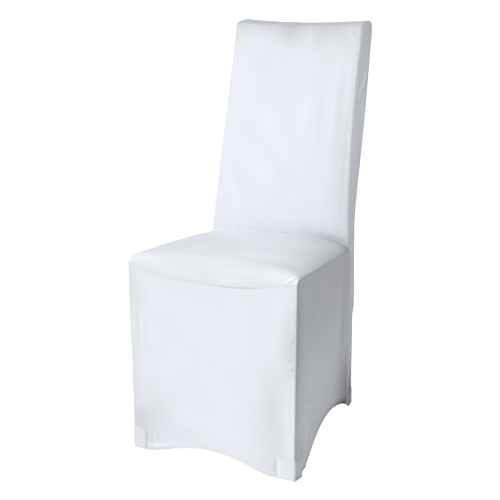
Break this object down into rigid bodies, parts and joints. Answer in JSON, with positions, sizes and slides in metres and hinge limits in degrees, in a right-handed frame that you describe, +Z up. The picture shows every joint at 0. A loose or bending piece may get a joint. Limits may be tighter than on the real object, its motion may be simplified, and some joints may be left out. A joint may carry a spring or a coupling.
{
  "type": "stretch chair cover",
  "caption": "Fitted white stretch cover for a high-backed dining chair, hollow and open at the floor, with arched hems and a patch over each foot.",
  "frame": {"origin": "centre of the cover's bounding box on the floor that the chair stands on", "axes": "+Z up, -Y out of the front of the chair, +X to the right of someone who looks at the front"},
  "size_m": [0.4452, 0.6056, 1.0274],
  "materials": {
    "spandex": "smooth matt knit, taut",
    "patch_cloth": "heavier matt cloth, whiter than the knit"
  },
  "bodies": {
    "root": {"seat": "spandex", "front_skirt": "spandex", "side_skirt_left": "spandex", "side_skirt_right": "spandex", "inside_back": "spandex", "outside_back": "spandex", "side_gusset_left": "spandex", "side_gusset_right": "spandex", "top_gusset": "spandex", "foot_patch_front_left": "patch_cloth", "foot_patch_front_right": "patch_cloth", "foot_patch_rear_left": "patch_cloth", "foot_patch_rear_right": "patch_cloth"}
  },
  "joints": []
}
